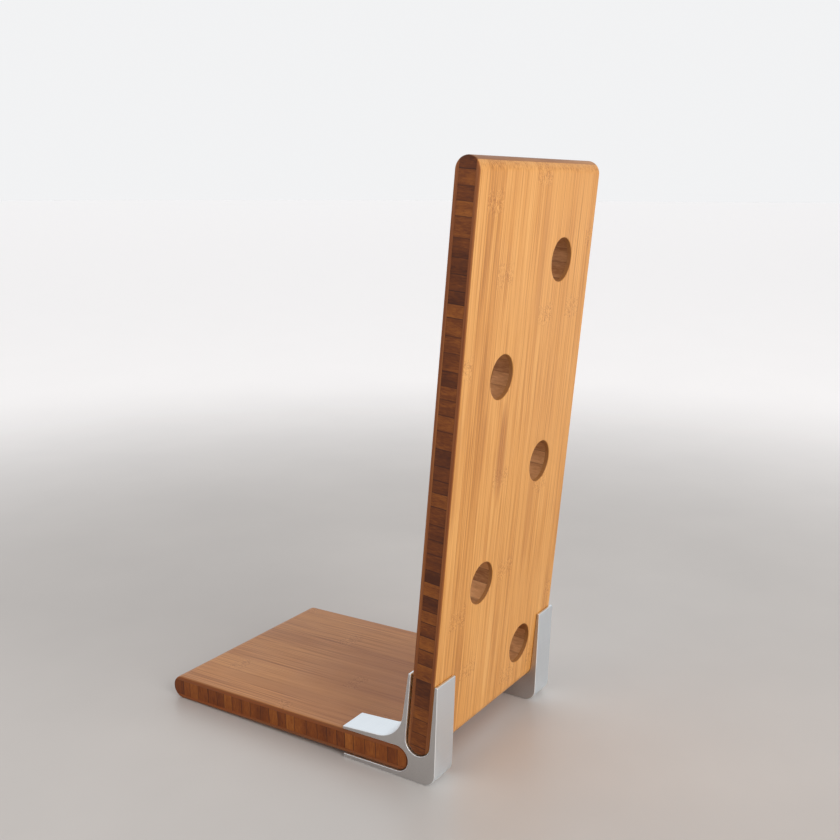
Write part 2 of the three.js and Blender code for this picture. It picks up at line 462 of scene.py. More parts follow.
class Bench:
    """Adds shader nodes to one tree and joins them up."""

    def __init__(self, tree: bpy.types.NodeTree) -> None:
        """Works on a node tree.

        Args:
            tree: the tree.
        """
        self.tree = tree

    def add(self, kind: str, inputs: dict[str | int, object] | None = None,
            **settings: object) -> bpy.types.Node:
        """Adds a node.

        Args:
            kind: the node's type.
            inputs: values, or sockets of other nodes, by the input's name or number.
            settings: the node's own settings.

        Returns:
            The node.
        """
        node = self.tree.nodes.new(kind)
        for name, value in settings.items():
            setattr(node, name, value)
        self.connect(node, inputs or {})
        return node

    def connect(self, node: bpy.types.Node, inputs: dict[str | int, object]) -> None:
        """Joins sockets to a node's inputs, and sets the inputs given as plain values.

        Args:
            node: the node.
            inputs: values, or sockets of other nodes, by the input's name or number.
        """
        for key, value in inputs.items():
            if isinstance(value, Socket):
                self.tree.links.new(value, node.inputs[key])
            else:
                node.inputs[key].default_value = value

    def maths(self, operation: str, *values: object, clamp: bool = False) -> Socket:
        """A Math node's result."""
        node = self.add("ShaderNodeMath", dict(enumerate(values)), operation=operation, use_clamp=clamp)
        return node.outputs[0]

    def weighted(self, start: float, *parts: tuple[Socket, float]) -> Socket:
        """A number plus each value times its weight.

        Args:
            start: the number.
            parts: values and their weights.

        Returns:
            The sum.
        """
        total: object = start
        for value, weight in parts:
            total = self.maths("MULTIPLY_ADD", value, weight, total)
        return total

    def size(self, value: Socket) -> Socket:
        """A value without its sign."""
        return self.maths("ABSOLUTE", value)

    def ease(self, value: Socket, start: float, stop: float, low: float = 0.0, high: float = 1.0) -> Socket:
        """A smooth step: low before start, high past stop, and an S-curve between them.

        Args:
            value: the value.
            start: where the curve starts.
            stop: where it ends.
            low: the result before the start.
            high: the result past the end.

        Returns:
            The result.
        """
        names = ("Value", "From Min", "From Max", "To Min", "To Max")
        inputs = dict(zip(names, (value, start, stop, low, high)))
        return self.add("ShaderNodeMapRange", inputs, interpolation_type="SMOOTHSTEP").outputs[0]

    def blend(self, share: object, first: object, second: object, mode: str = "MIX") -> Socket:
        """A mix of two colours."""
        node = self.add("ShaderNodeMix", {0: share, 6: first, 7: second}, data_type="RGBA", blend_type=mode)
        return node.outputs[2]

    def between(self, share: Socket, first: object, second: object) -> Socket:
        """A mix of two numbers."""
        return self.add("ShaderNodeMix", {0: share, 2: first, 3: second}, data_type="FLOAT").outputs[0]

    def ramp(self, value: Socket, *stops: tuple[float, Colour]) -> Socket:
        """A colour that runs evenly from stop to stop as the value rises.

        Args:
            value: the value.
            stops: positions and their colours, in order.

        Returns:
            The colour.
        """
        node = self.add("ShaderNodeValToRGB", {0: value})
        elements = node.color_ramp.elements
        elements[0].position, elements[0].color = stops[0]
        elements[1].position, elements[1].color = stops[-1]
        for position, colour in stops[1:-1]:
            elements.new(position).color = colour
        return node.outputs[0]

    def noise(self, vector: Socket, scale: float, detail: float = 2.0, distortion: float = 0.0) -> Socket:
        """A noise pattern's value, from 0 to 1 about a half.

        Args:
            vector: where the pattern is read.
            scale: how fine it is.
            detail: how many finer copies are added to it.
            distortion: how crooked it is.

        Returns:
            The value.
        """
        names = ("Vector", "Scale", "Detail", "Roughness", "Distortion")
        inputs = dict(zip(names, (vector, scale, detail, 0.55, distortion)))
        return self.add("ShaderNodeTexNoise", inputs).outputs[0]

    def split(self, vector: Socket) -> tuple[Socket, Socket, Socket]:
        """The three parts of a vector."""
        node = self.add("ShaderNodeSeparateXYZ", {0: vector})
        return node.outputs[0], node.outputs[1], node.outputs[2]

    def join(self, x: object, y: object, z: object) -> Socket:
        """A vector of three parts."""
        return self.add("ShaderNodeCombineXYZ", {0: x, 1: y, 2: z}).outputs[0]

    def stretch(self, vector: Socket, factors: tuple[float, float, float]) -> Socket:
        """A vector with each part multiplied by its own factor."""
        return self.add("ShaderNodeVectorMath", {0: vector, 1: factors}, operation="MULTIPLY").outputs[0]

    def dot(self, vector: Socket, direction: tuple[float, float, float]) -> Socket:
        """How far a vector reaches along a direction."""
        return self.add("ShaderNodeVectorMath", {0: vector, 1: direction}, operation="DOT_PRODUCT").outputs[1]

    def shared(self, group: bpy.types.NodeTree, inputs: dict[str, object]) -> bpy.types.Node:
        """A shared effect placed in this tree.

        Args:
            group: the effect's group.
            inputs: values, or sockets of other nodes, by the input's name.

        Returns:
            The group's node.
        """
        node = self.add("ShaderNodeGroup", node_tree=group)
        self.connect(node, inputs)
        return node


class SharedEffects:
    """Shader groups that more than one finish uses, each built once."""

    def __init__(self) -> None:
        """Builds the groups."""
        self.fibres = self._fibres()
        self.handling = self._handling()

    @staticmethod
    def _new(name: str, inputs: dict[str, str],
             outputs: dict[str, str]) -> tuple[bpy.types.NodeTree, Bench, dict[str, Socket]]:
        """Starts a group.

        Args:
            name: the group's name.
            inputs: socket type of each named input.
            outputs: socket type of each named output.

        Returns:
            The group, a bench for it, and its inputs' sockets by name.
        """
        group = bpy.data.node_groups.new(name, "ShaderNodeTree")
        for title, kind in inputs.items():
            group.interface.new_socket(title, in_out="INPUT", socket_type=kind)
        for title, kind in outputs.items():
            group.interface.new_socket(title, in_out="OUTPUT", socket_type=kind)
        entry = group.nodes.new("NodeGroupInput")
        return group, Bench(group), {title: entry.outputs[title] for title in inputs}

    def _fibres(self) -> bpy.types.NodeTree:
        """Bamboo fibres along the vector's Z, which is in millimetres.

        Fine is hair-thin streaks, Broad is wide soft bands, and Vessels is the short dark dashes of the
        vascular bundles. Each is noise stretched along Z.

        Returns:
            The group.
        """
        group, bench, given = self._new(
            "bamboo_fibres",
            {"Vector": "NodeSocketVector", "Seed": "NodeSocketFloat", "Stretch": "NodeSocketFloat"},
            {"Fine": "NodeSocketFloat", "Broad": "NodeSocketFloat", "Vessels": "NodeSocketFloat"},
        )
        x, y, z = bench.split(given["Vector"])
        along = bench.maths("MULTIPLY", z, given["Stretch"])
        moved = bench.join(bench.maths("ADD", x, given["Seed"]), y, along)
        fine = bench.noise(bench.stretch(moved, (0.85, 0.85, 0.7)), 1.0, 3.0, 0.1)
        broad = bench.noise(bench.stretch(moved, (0.13, 0.13, 0.3)), 1.0, 2.0, 0.2)
        dashes = bench.noise(bench.stretch(moved, (2.1, 2.1, 3.2)), 1.0, 1.0)
        vessels = bench.ease(dashes, 0.58, 0.72)
        bench.add("NodeGroupOutput", {"Fine": fine, "Broad": broad, "Vessels": vessels})
        return group

    def _handling(self) -> bpy.types.NodeTree:
        """Faint uneven sheen left by hands and cloths: two sizes of soft noise, from 0 to 1.

        Returns:
            The group.
        """
        group, bench, given = self._new(
            "handling_sheen",
            {"Vector": "NodeSocketVector", "Size": "NodeSocketFloat"},
            {"Sheen": "NodeSocketFloat"},
        )
        inputs = {0: given["Vector"], "Scale": given["Size"]}
        scaled = bench.add("ShaderNodeVectorMath", inputs, operation="SCALE").outputs[0]
        wide = bench.noise(scaled, 1.0, 2.0, 0.6)
        close = bench.noise(scaled, 5.0, 3.0)
        sheen = bench.ease(bench.maths("MULTIPLY_ADD", close, 0.35, wide), 0.45, 0.95)
        bench.add("NodeGroupOutput", {"Sheen": sheen})
        return group


@dataclass(frozen=True)
class Mark:
    """A soft darker patch in the bamboo, by its middle and half sizes in the board's frame: most are
    lengthwise stains, and the wide one on the base by the upright is painted shadow.
    """

    across: float
    along: float
    half_width: float
    half_length: float
    strength: float


@dataclass(frozen=True)
class Finish:
    """What every finish starts with: a name, a surface shader and a frame in millimetres."""

    name: str

    def start(self) -> tuple[bpy.types.Material, Bench, bpy.types.Node]:
        """A new material.

        Returns:
            The material, a bench for its tree, and its surface shader.
        """
        material = bpy.data.materials.new(self.name)
        material.use_nodes = True
        return material, Bench(material.node_tree), material.node_tree.nodes["Principled BSDF"]

    @staticmethod
    def board_frame(bench: Bench, place: BoardPlace) -> Socket:
        """Object coordinates turned into a board's own frame, in millimetres: X across, Y away from the
        show face, Z along from its tip.

        Args:
            bench: the material's bench.
            place: where the board lies.

        Returns:
            The vector.
        """
        coordinates = bench.add("ShaderNodeTexCoord").outputs["Object"]
        corner = (0.0, (place.tip[0] + place.shift) * MM, place.tip[1] * MM)
        names = ("Vector", "Location", "Rotation", "Scale")
        inputs = dict(zip(names, (coordinates, corner, (place.turn, 0, 0), (MM, MM, MM))))
        return bench.add("ShaderNodeMapping", inputs, vector_type="TEXTURE").outputs[0]

    @staticmethod
    def join_up(bench: Bench, shader: bpy.types.Node, colour: Socket, roughness: Socket,
                height: Socket, strength: float, depth: float) -> None:
        """Feeds the surface shader.

        Args:
            bench: the material's bench.
            shader: the surface shader.
            colour: base colour.
            roughness: roughness.
            height: the relief, from 0 to 1.
            strength: how much of the relief shows.
            depth: the relief's depth in metres.
        """
        bump = bench.add("ShaderNodeBump", {"Height": height, "Strength": strength, "Distance": depth})
        bench.connect(shader, {"Base Color": colour, "Roughness": roughness, "Normal": bump.outputs[0]})


@dataclass(frozen=True)
class LengthwiseBamboo(Finish):
    """Face ply: wide strips along the board, with fibres, vessel dashes and knuckles, under lacquer."""

    seed: float = 0.0
    strip_width: float = 21.9
    first_joint: float = -98.8
    joint_reach: tuple[float, float] = (0.28, 0.05)
    knuckles: tuple[float, ...] = ()
    knuckle_period: float = 287.0
    knuckle_drift: float = 11.0
    marks: tuple[Mark, ...] = ()
    light: Colour = (0.87, 0.455, 0.145, 1)
    middle: Colour = (0.72, 0.325, 0.082, 1)
    dark: Colour = (0.49, 0.19, 0.038, 1)
    stain: Colour = (0.36, 0.11, 0.022, 1)
    cut: Colour = (0.31, 0.125, 0.042, 1)
    side: Colour = (0.23, 0.052, 0.007, 1)

    def build(self, effects: SharedEffects, place: BoardPlace, half_width: float) -> bpy.types.Material:
        """Makes the material.

        Args:
            effects: the shared effects.
            place: where the board lies.
            half_width: half of the board's width.

        Returns:
            The material.
        """
        material, bench, shader = self.start()
        vector = self.board_frame(bench, place)
        across, _, along = bench.split(vector)
        strip = bench.maths("DIVIDE", bench.maths("SUBTRACT", across, self.first_joint), self.strip_width)
        number = bench.maths("FLOOR", strip)
        chance = {"W": bench.maths("ADD", number, self.seed)}
        pick = bench.add("ShaderNodeTexWhiteNoise", chance, noise_dimensions="1D").outputs["Value"]
        own_seed = bench.maths("MULTIPLY", pick, 90.0)
        fibres = bench.shared(effects.fibres, {"Vector": vector, "Seed": own_seed, "Stretch": 0.014})
        fine, broad, vessels = fibres.outputs
        tone = bench.weighted(-1.19, (pick, 0.34), (broad, 0.75), (fine, 2.2))
        colour = bench.ramp(tone, (0.0, self.dark), (0.42, self.middle), (1.0, self.light))
        colour = bench.blend(bench.maths("MULTIPLY", vessels, 0.30), colour, self.dark)
        colour, scar = self._knuckle_marks(bench, across, along, number, colour)
        # stains, and on the base a painted shadow by the upright
        colour = self._stains_and_painted_shadow(bench, across, along, fine, colour)
        edge = bench.size(bench.maths("SUBTRACT", bench.maths("FRACT", strip), 0.5))
        joint_start, joint_full = (0.5 - distance / self.strip_width for distance in self.joint_reach)
        joint = bench.ease(edge, joint_start, joint_full)
        colour = bench.blend(bench.maths("MULTIPLY", joint, 0.38), colour, self.stain)
        colour = self._cut_faces(bench, place, across, half_width, fine, colour)
        sheen = bench.shared(effects.handling, {"Vector": vector, "Size": 0.02}).outputs["Sheen"]
        roughness = bench.weighted(0.33, (fine, 0.16), (sheen, 0.07))
        height = bench.weighted(0.0, (fine, 1.0), (joint, -0.6), (vessels, -0.3), (scar, 0.4))
        self.join_up(bench, shader, colour, roughness, height, 0.35, 0.00006)
        bench.connect(shader, {"Coat Weight": 0.06, "Coat Roughness": 0.22, "IOR": 1.4})
        return material

    def _knuckle_marks(self, bench: Bench, across: Socket, along: Socket, number: Socket,
                       colour: Socket) -> tuple[Socket, Socket]:
        """Rows of small crooked dashes where the cane's knuckles were: each strip has its own height, and
        the knuckle comes back after one length of cane. A stepped ramp holds the heights of up to ten
        strips, as shares of the tallest it can hold.

        Args:
            bench: the material's bench.
            across: distance across the board.
            along: distance along the board.
            number: the strip's number.
            colour: the colour so far.

        Returns:
            The colour with the marks, and the marks alone.
        """
        step, tallest = 0.1, 500.0
        heights = bench.add("ShaderNodeValToRGB", {0: bench.maths("MULTIPLY_ADD", number, step, step / 2)})
        stops = heights.color_ramp.elements
        heights.color_ramp.interpolation = "CONSTANT"
        for i, knuckle in enumerate(self.knuckles):
            stop = stops[0] if i == 0 else stops.new(i * step)
            stop.position, stop.color = i * step, (knuckle / tallest,) * 3 + (1,)
        stops.remove(stops[len(stops) - 1])
        from_knuckle = bench.maths("MULTIPLY_ADD", bench.split(heights.outputs[0])[0], -tallest, along)
        half = self.knuckle_period / 2
        from_knuckle = bench.maths("WRAP", from_knuckle, half, -half)
        plane = bench.join(across, 0.0, along)
        drift = bench.noise(plane, 0.13, 2.0)
        drifted = bench.weighted(-self.knuckle_drift, (from_knuckle, 1.0), (drift, 2 * self.knuckle_drift))
        band = bench.ease(bench.size(drifted), 4.0, 10.0, 1.0, 0.0)
        dashes = bench.noise(bench.stretch(plane, (0.52, 1.0, 0.30)), 1.0, 2.0, 2.2)
        dark = bench.maths("MULTIPLY", bench.ease(dashes, 0.52, 0.60), band)
        pale = bench.maths("MULTIPLY", bench.ease(dashes, 0.40, 0.47, 1.0, 0.0), band)
        colour = bench.blend(bench.maths("MULTIPLY", dark, 0.45), colour, self.stain)
        colour = bench.blend(bench.maths("MULTIPLY", pale, 0.4), colour, self.light)
        return colour, bench.maths("SUBTRACT", pale, dark)

    def _cut_faces(self, bench: Bench, place: BoardPlace, across: Socket, half_width: float, fine: Socket,
                   colour: Socket) -> Socket:
        """Darker cut wood: the walls of the neck holes, the round ends a little, and the board's sides.
        The first two are told by how far the surface faces out of the board and along it.

        Args:
            bench: the material's bench.
            place: where the board lies.
            across: distance across the board.
            half_width: half of the board's width.
            fine: fine fibres.
            colour: the colour so far.

        Returns:
            The colour with the cut faces.
        """
        normal = bench.add("ShaderNodeNewGeometry").outputs["Normal"]
        ends, facing = (
            bench.size(bench.dot(normal, (0.0, *direction.tolist())))
            for direction in (place.along, place.outwards)
        )
        wall = bench.ease(facing, 0.10, 0.60, 0.80, 0.0)
        rounded_end = bench.ease(ends, 0.05, 0.6, 0.0, 0.12)
        colour = bench.blend(bench.maths("MAXIMUM", wall, rounded_end), colour, self.cut)
        edge = bench.ease(bench.size(across), half_width - 0.9, half_width - 0.25, 0.0, 0.9)
        grained = bench.blend(bench.ease(fine, 0.35, 0.65), self.side, self.stain)
        return bench.blend(edge, colour, grained)

    def _stains_and_painted_shadow(self, bench: Bench, across: Socket, along: Socket, fine: Socket, colour: Socket) -> Socket:
        """Soft darker patches, stains and painted shadow: one minus the distance from a mark's middle in half
        sizes, times fibres.

        Args:
            bench: the material's bench.
            across: distance across the board.
            along: distance along the board.
            fine: fine fibres.
            colour: the colour so far.

        Returns:
            The colour with the stains and the painted shadow.
        """
        for mark in self.marks:
            x = bench.maths("DIVIDE", bench.maths("SUBTRACT", across, mark.across), mark.half_width)
            z = bench.maths("DIVIDE", bench.maths("SUBTRACT", along, mark.along), mark.half_length)
            reach = bench.maths("ADD", bench.maths("MULTIPLY", x, x), bench.maths("MULTIPLY", z, z))
            share = bench.ease(reach, 0.0, 1.0, mark.strength, 0.0)
            share = bench.maths("MULTIPLY", share, bench.ease(fine, 0.35, 0.6))
            colour = bench.blend(share, colour, self.stain)
        return colour


@dataclass(frozen=True)
class CrosswiseBamboo(Finish):
    """Core: narrow strips glued side by side along the board, with their fibres across it.

    The end grain is drawn out across the board's thickness by one over `growth_lines`.
    """

    seed: float = 0.0
    block: float = 10.6
    growth_lines: float = 0.22
    dark: Colour = (0.085, 0.018, 0.003, 1)
    middle: Colour = (0.195, 0.048, 0.007, 1)
    light: Colour = (0.39, 0.12, 0.018, 1)
    glue: Colour = (0.05, 0.012, 0.004, 1)
    long_dark: Colour = (0.29, 0.112, 0.036, 1)
    long_light: Colour = (0.72, 0.36, 0.15, 1)

    def build(self, effects: SharedEffects, place: BoardPlace, half_width: float) -> bpy.types.Material:
        """Makes the material.

        Args:
            effects: the shared effects.
            place: where the board lies.
            half_width: half of the board's width, where the end grain shows.

        Returns:
            The material.
        """
        material, bench, shader = self.start()
        vector = self.board_frame(bench, place)
        across, away, along = bench.split(vector)
        position = bench.maths("MULTIPLY_ADD", along, 1 / self.block, self.seed)
        cells = {"W": position, "Scale": 1.0, "Randomness": 0.7}
        blocks, edges = (
            bench.add("ShaderNodeTexVoronoi", cells, voronoi_dimensions="1D", feature=feature)
            for feature in ("F1", "DISTANCE_TO_EDGE")
        )
        pick = bench.add("ShaderNodeSeparateColor", {0: blocks.outputs["Color"]}).outputs
        turned = bench.join(along, bench.maths("MULTIPLY", away, self.growth_lines), across)
        own_seed = bench.maths("MULTIPLY", pick[1], 70.0)
        fibres = bench.shared(effects.fibres, {"Vector": turned, "Seed": own_seed, "Stretch": 0.03})
        fine, broad, vessels = fibres.outputs
        tone = bench.weighted(-0.98, (pick[0], 0.75), (fine, 1.0), (broad, 1.1))
        ends = bench.ramp(tone, (0.0, self.dark), (0.45, self.middle), (1.0, self.light))
        ends = bench.blend(bench.maths("MULTIPLY", vessels, 0.35), ends, self.dark)
        end_grain = bench.ease(bench.size(across), half_width - 1.3, half_width - 0.2)
        long_tone = bench.maths("MULTIPLY_ADD", tone, 0.9, 0.05, clamp=True)
        colour = bench.blend(end_grain, bench.blend(long_tone, self.long_dark, self.long_light), ends)
        joint = bench.ease(edges.outputs[0], 0.015, 0.05, 1.0, 0.0)
        for share in (bench.weighted(0.6, (pick[2], 0.4)), bench.weighted(0.4, (end_grain, 0.6))):
            joint = bench.maths("MULTIPLY", joint, share)
        colour = bench.blend(joint, colour, self.glue)
        sheen = bench.shared(effects.handling, {"Vector": vector, "Size": 0.03}).outputs["Sheen"]
        roughness = bench.weighted(0.36, (fine, 0.2), (sheen, 0.08), (end_grain, 0.08))
        height = bench.weighted(0.0, (fine, 1.0), (joint, -0.6))
        self.join_up(bench, shader, colour, roughness, height, 0.35, 0.00008)
        bench.connect(shader, {"Coat Weight": 0.04, "Coat Roughness": 0.25, "IOR": 1.38})
        return material


@dataclass(frozen=True)
class SatinAluminium(Finish):
    """Anodised extrusion: faint die lines across the rack, sawn ends with finer, rougher marks, and
    broken edges with a painted highlight: where the surface faces partly sideways its colour is near white."""

    colour: Colour = (0.89, 0.95, 1.0, 1)
    shade: Colour = (0.79, 0.86, 0.92, 1)
    sawn: Colour = (0.60, 0.58, 0.57, 1)
    sawn_shade: Colour = (0.49, 0.47, 0.46, 1)
    # painted highlight: near-white colour of the broken edges
    edge: Colour = (0.98, 0.985, 1.0, 1)

    def build(self, effects: SharedEffects, middle: float, half_width: float) -> bpy.types.Material:
        """Makes the material.

        Args:
            effects: the shared effects.
            middle: X of the bracket's middle, in millimetres.
            half_width: half of the bracket's width.

        Returns:
            The material.
        """
        material, bench, shader = self.start()
        coordinates = bench.add("ShaderNodeTexCoord").outputs["Object"]
        inputs = {"Vector": coordinates, "Location": (middle * MM, 0, 0), "Scale": (MM, MM, MM)}
        vector = bench.add("ShaderNodeMapping", inputs, vector_type="TEXTURE").outputs[0]
        across = bench.split(vector)[0]
        end = bench.ease(bench.size(across), half_width - 0.06, half_width - 0.01)
        die = bench.noise(bench.stretch(vector, (0.012, 2.6, 2.6)), 1.0, 3.0)
        saw = bench.noise(bench.stretch(vector, (0.4, 0.5, 7.0)), 1.0, 2.0)
        lines = bench.between(end, die, saw)
        grains = bench.noise(vector, 6.0, 2.0)
        sheen = bench.shared(effects.handling, {"Vector": vector, "Size": 0.05}).outputs["Sheen"]
        plain = bench.blend(bench.ease(lines, 0.3, 0.75, 0.0, 0.35), self.colour, self.shade)
        sawn = bench.blend(bench.ease(lines, 0.3, 0.7, 0.0, 0.5), self.sawn, self.sawn_shade)
        # painted highlight: the broken edges, where the normal faces partly sideways, are lifted to near
        # white
        tilt = bench.size(bench.split(bench.add("ShaderNodeNewGeometry").outputs["Normal"])[0])
        broken = bench.maths("MULTIPLY", bench.ease(tilt, 0.1, 0.3), bench.ease(tilt, 0.8, 0.97, 1.0, 0.0))
        colour = bench.blend(broken, bench.blend(end, plain, sawn), self.edge)
        roughness = bench.weighted(0.30, (lines, 0.12), (broken, 0.18), (sheen, 0.06), (end, 0.06))
        height = bench.weighted(0.0, (lines, 1.0), (grains, 0.5))
        self.join_up(bench, shader, colour, roughness, height, 0.2, 0.00003)
        bench.connect(shader, {"Metallic": 1.0})
        return material


@dataclass(frozen=True)
class ZincSteel(Finish):
    """Zinc-plated screws: pale blue-grey steel with a faint mottle."""

    colour: Colour = (0.60, 0.62, 0.66, 1)
    mottle: Colour = (0.42, 0.43, 0.45, 1)

    def build(self, effects: SharedEffects) -> bpy.types.Material:
        """Makes the material.

        Args:
            effects: the shared effects.

        Returns:
            The material.
        """
        material, bench, shader = self.start()
        coordinates = bench.add("ShaderNodeTexCoord").outputs["Object"]
        vector = bench.stretch(coordinates, (1000.0, 1000.0, 1000.0))
        sheen = bench.shared(effects.handling, {"Vector": vector, "Size": 0.9}).outputs["Sheen"]
        grains = bench.noise(vector, 4.0, 3.0)
        colour = bench.blend(bench.maths("MULTIPLY", sheen, 0.6), self.colour, self.mottle)
        roughness = bench.maths("MULTIPLY_ADD", sheen, 0.15, 0.22)
        self.join_up(bench, shader, colour, roughness, grains, 0.15, 0.00002)
        bench.connect(shader, {"Metallic": 1.0})
        return material


# ---------------------------------------------------------------- boards


@dataclass(frozen=True)
class Well:
    """A round hole into a layer, from one of its faces or through both.

    The rings are (radius, offset from the middle of the board), from the show side down, and a radius
    of 0 closes the hole. `half_block` is half the side of the square of face around it.
    """

    across: float
    along: float
    half_block: float
    rings: tuple[tuple[float, float], ...]
    from_show: bool = True
    from_hidden: bool = True


@dataclass
class Board:
    """A three-layer board with both ends fully rounded and its long edges eased.

    Attributes:
        name: start of its pieces' names.
        place: where it lies.
        sizes: the rack's sizes.
        nodes: the CAD node that each layer stands for.
        holes: (across, along) of each neck hole.
        screws: (distance, how far behind the middle the screw starts) of each pair of screws.
        edge: radius of the eased long edges.
        rim: radius of the eased rims of the neck holes.
        step: coarseness of the faces.
        support: distance between a rounding and the line of points that keeps the flat beside it flat.
        hole_block: half the side of the square of face around a neck hole.
        screw_block: the same around a screw.
    """

    name: str
    place: BoardPlace
    sizes: RackSizes
    nodes: dict[Layer, str]
    holes: list[tuple[float, float]] = field(default_factory=list)
    screws: list[float] = field(default_factory=list)
    edge: float = 1.5
    rim: float = 0.6
    step: float = 3.0
    support: float = 0.5
    hole_block: float = 21.0
    screw_block: float = 5.0

    def offsets(self, layer: Layer) -> tuple[float, float]:
        """Offsets of a layer's faces from the middle of the board.

        Args:
            layer: the layer.

        Returns:
            The show-side face's offset, then the hidden-side face's.
        """
        core, gap = self.sizes.core_half, self.sizes.core_half + self.sizes.glue_line
        both = {
            Layer.SHOW: (self.sizes.half, gap),
            Layer.CORE: (core, -core),
            Layer.HIDDEN: (-gap, -self.sizes.half),
        }
        return both[layer]

    def neck_rings(self, layer: Layer) -> tuple[tuple[float, float], ...]:
        """Rings of a neck hole through a layer: straight wall, with a quarter-round rim where it comes out
        on a face of the board.

        Args:
            layer: the layer.

        Returns:
            (radius, offset) of each ring, from the show side down.
        """
        radius, high, low = self.sizes.hole_radius, *self.offsets(layer)
        face, size = self.sizes.half, self.rim
        rim = [(radius + size * (1 - math.sin(a)), face - size * (1 - math.cos(a))) for a in quarter(4)]
        eased = [(radius + size + 0.6, face), *rim, (radius, face - size - 0.3)]
        if layer is Layer.SHOW:
            return (*eased, (radius, low), (radius + 1, low))
        if layer is Layer.HIDDEN:
            return ((radius + 1, high), (radius, high), *((r, -n) for r, n in reversed(eased)))
        return ((radius + 1, high), (radius, high), (radius, low), (radius + 1, low))

    def wells(self, layer: Layer) -> list[Well]:
        """Every round hole in a layer: neck holes through all, and screw bores from the hidden side.

        Args:
            layer: the layer.

        Returns:
            The holes.
        """
        wells = [Well(x, s, self.hole_block, self.neck_rings(layer)) for x, s in self.holes]
        high, low = self.offsets(layer)
        bore = self.sizes.screw_shank + self.sizes.screw_gap
        point = self.sizes.half - self.sizes.wood_past_screw + self.sizes.screw_gap
        for distance in self.screws:
            for side in Side:
                x = side.value * self.sizes.screw_x
                if layer is Layer.HIDDEN:
                    rings = ((bore + 0.6, high), (bore, high), (bore, low), (bore + 0.6, low))
                    wells.append(Well(x, distance, self.screw_block, rings))
                if layer is Layer.CORE:
                    taper = point - self.sizes.screw_point
                    rings = ((0.0, point), (bore, taper), (bore, low), (bore + 0.6, low))
                    wells.append(Well(x, distance, self.screw_block, rings, from_show=False))
        return wells

    def chains(self, layer: Layer, inset: np.ndarray, rows: np.ndarray) -> tuple[np.ndarray, np.ndarray]:
        """The layer's show-side and hidden-side lines along the board, for each inset of its outline.

        Both run from where they meet at the near end to where they meet at the far end. Over an end the
        line follows the round end, radius R less the inset: outwards R sin a, and along R cos a past the
        centre of the round. Elsewhere it is straight.

        Args:
            layer: the layer.
            inset: inset of the outline at each station across the board.
            rows: distances along the straight part.

        Returns:
            Two arrays of (outwards, along), by station and by point along the line.
        """
        half = self.sizes.half
        radius = (half - inset)[:, None]
        high, low = self.offsets(layer)
        turns = 12
        if layer is Layer.CORE:
            lift = np.arcsin(high / radius)
            angle = lift * np.linspace(0, 1, turns + 1)[None, :-1]
            reach_flat = np.sqrt(radius**2 - high**2)
            flat = reach_flat * np.linspace(1, 0, 4)[None, :-1]
            end_out = np.concatenate([radius * np.sin(angle), np.broadcast_to(high, flat.shape)], axis=1)
            end_past = np.concatenate([radius * np.cos(angle), flat], axis=1)
            upper = self._chain(end_out, end_past, np.broadcast_to(high, (len(inset), len(rows))), rows)
            return upper, upper * np.array([-1.0, 1.0])
        inner = min(abs(high), abs(low))
        start = np.arcsin(inner / radius)
        angle = start + (math.pi / 2 - start) * np.linspace(0, 1, turns + 1)[None, :-1]
        outer = self._chain(
            radius * np.sin(angle), radius * np.cos(angle), np.repeat(radius, len(rows), axis=1), rows
        )
        reach = np.sqrt(radius**2 - inner**2)
        flat_past = reach * np.linspace(1, 0, turns + 1)[None, :-1]
        flat = self._chain(
            np.full_like(flat_past, inner), flat_past, np.full((len(inset), len(rows)), inner), rows
        )
        if layer is Layer.SHOW:
            return outer, flat
        return flat * np.array([-1.0, 1.0]), outer * np.array([-1.0, 1.0])

    def _chain(self, end_out: np.ndarray, end_past: np.ndarray, out: np.ndarray,
               rows: np.ndarray) -> np.ndarray:
        """One line along the board: near end, straight part, far end.

        Args:
            end_out: offsets over an end, from its outermost point inwards.
            end_past: how far past the round's centre those points are.
            out: offsets along the straight part.
            rows: distances along the straight part.

        Returns:
            An array of (outwards, along) by station and point.
        """
        half = self.sizes.half
        near = half - end_past
        far = self.place.length - half + end_past
        outwards = np.concatenate([end_out, out, end_out[:, ::-1]], axis=1)
        along = np.concatenate([near, np.broadcast_to(rows, out.shape), far[:, ::-1]], axis=1)
        return np.stack([outwards, along], axis=-1)

    def build_layer(self, layer: Layer, name: str) -> bpy.types.Object:
        """Makes a layer.

        Args:
            layer: which layer.
            name: the piece's name.

        Returns:
            The piece.
        """
        half_width, half = self.sizes.board_width / 2, self.sizes.half
        wells = self.wells(layer)
        straight = half_width - self.edge
        support = self.support
        stops = [-straight, support - straight, straight - support, straight]
        stops += [w.across + sign * w.half_block for w in wells for sign in (-1, 1)]
        inner = lines_between(stops, self.step)
        turn = quarter(5)[1:]
        outer = straight + self.edge * np.sin(turn)
        across = np.concatenate([-outer[::-1], inner, outer])
        eased = self.edge * (1 - np.cos(turn))
        inset = np.concatenate([eased[::-1], np.zeros(len(inner)), eased])
        far = self.place.length - half
        ends = [half, half + support, far - support, far]
        ends += [w.along + sign * w.half_block for w in wells for sign in (-1, 1)]
        rows = lines_between(ends, self.step)
        upper, lower = self.chains(layer, inset, rows)
        surface = Surface()
        numbers = [
            surface.add(self.place.to_rack(across[:, None], chain[..., 0], chain[..., 1]))
            for chain in (upper, lower)
        ]
        keep = [np.ones((len(across) - 1, upper.shape[1] - 1), bool) for _ in range(2)]
        first_row = (upper.shape[1] - len(rows)) // 2
        for well in wells:
            self._add_well(surface, well, across, rows, first_row, numbers, keep)
        for ids, kept in zip(numbers, keep):
            surface.grid(ids, kept)
        shares = (0.06, 0.94) if layer is Layer.CORE else (0.2, 0.8)
        for station in (0, -1):
            side = [numbers[0][station]]
            for share in shares:
                line = upper[station] * (1 - share) + lower[station] * share
                side.append(surface.add(self.place.to_rack(across[station], line[:, 0], line[:, 1])))
            side.append(numbers[1][station])
            surface.grid(np.stack(side))
        return surface.make(name)

